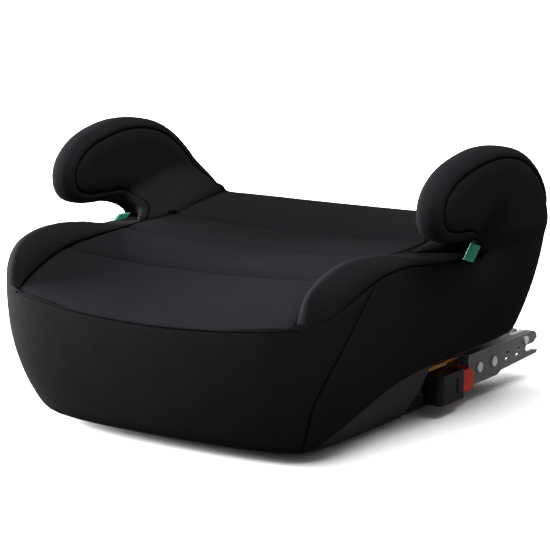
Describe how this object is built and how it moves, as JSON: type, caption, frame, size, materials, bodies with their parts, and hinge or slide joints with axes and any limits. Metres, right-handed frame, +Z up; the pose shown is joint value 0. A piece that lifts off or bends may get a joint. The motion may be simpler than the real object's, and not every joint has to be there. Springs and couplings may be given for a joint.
{
  "type": "booster seat",
  "caption": "Backless child booster seat with padded hook armrests, lap belt guides and a sliding pair of rigid anchor connectors.",
  "frame": {"origin": "on the floor, under the middle of the padded body", "axes": "+Z up; the child faces -Y; +X is the seat's left-hand side as the child sits, the right-hand side seen from the front; the connectors point along +Y"},
  "size_m": [0.412, 0.4025, 0.2349],
  "materials": {
    "cover_fabric": "matt black knit with a faint violet tint",
    "foam": "matt foam",
    "base_plastic": "fine grained",
    "foot_rubber": "matt",
    "elastic": "woven",
    "guide_tab": "satin",
    "bracket_steel": "satin, worn to bare metal on the edges",
    "zinc_steel": "satin zinc",
    "red_plastic": "semi gloss",
    "black_plastic": "semi gloss",
    "orange_plastic": "semi gloss"
  },
  "bodies": {
    "base": {"base_shell": "base_plastic", "base_tray": "base_plastic", "tray_screws": "zinc_steel", "rubber_feet": "foot_rubber", "cover_elastics": "elastic", "seat_foam": "foam", "side_foam_left": "foam", "side_foam_right": "foam", "seat_cover": "cover_fabric", "bolster_left": "cover_fabric", "bolster_right": "cover_fabric", "front_panel": "cover_fabric", "side_panel_left": "cover_fabric", "side_panel_right": "cover_fabric", "rear_panel": "cover_fabric", "arm_core_left": "base_plastic", "arm_core_right": "base_plastic", "arm_screws_left": "zinc_steel", "arm_screws_right": "zinc_steel", "arm_pad_left": "cover_fabric", "arm_pad_right": "cover_fabric", "belt_guide_left": "guide_tab", "belt_guide_right": "guide_tab", "guide_rail_left": "base_plastic", "guide_rail_right": "base_plastic", "adjuster_pin": "zinc_steel", "adjuster_spring": "zinc_steel"},
    "connector_frame": {"cross_tube": "zinc_steel", "rack_plate": "zinc_steel", "bracket_left": "bracket_steel", "bracket_right": "bracket_steel", "bracket_rivets_left": "zinc_steel", "bracket_rivets_right": "zinc_steel", "indicator_sleeve_left": "red_plastic", "indicator_sleeve_right": "red_plastic", "hook_pin_left": "zinc_steel", "hook_pin_right": "zinc_steel", "hook_spring_left": "zinc_steel", "hook_spring_right": "zinc_steel"},
    "cap_left": {"release_cap_left": "black_plastic", "release_rod_left": "orange_plastic"},
    "cap_right": {"release_cap_right": "black_plastic", "release_rod_right": "orange_plastic"},
    "latch_left": {"hook_left": "zinc_steel"},
    "latch_right": {"hook_right": "zinc_steel"},
    "adjuster": {"adjuster_lever": "red_plastic"}
  },
  "joints": [
    {"name": "connector_slide", "type": "slide", "parent": "base", "child": "connector_frame", "axis": [0, 1, 0], "range_m": [-0.02, 0.06]},
    {"name": "release_slide_left", "type": "slide", "parent": "connector_frame", "child": "cap_left", "axis": [0, 1, 0], "range_m": [0, 0.008]},
    {"name": "latch_turn_left", "type": "hinge", "parent": "connector_frame", "child": "latch_left", "pos_m": [-0.14, 0.2005, 0.0386], "axis": [1, 0, 0], "range_deg": [-33, 0]},
    {"name": "release_slide_right", "type": "slide", "parent": "connector_frame", "child": "cap_right", "axis": [0, 1, 0], "range_m": [0, 0.008]},
    {"name": "latch_turn_right", "type": "hinge", "parent": "connector_frame", "child": "latch_right", "pos_m": [0.14, 0.2005, 0.0386], "axis": [1, 0, 0], "range_deg": [-33, 0]},
    {"name": "adjuster_turn", "type": "hinge", "parent": "base", "child": "adjuster", "pos_m": [0, -0.08, 0.042], "axis": [1, 0, 0], "range_deg": [-6, 0]}
  ],
  "couplings": [
    {"joint": "latch_turn_left", "follows": "release_slide_left", "rad_per_m": -71.988},
    {"joint": "latch_turn_right", "follows": "release_slide_right", "rad_per_m": -71.988}
  ]
}
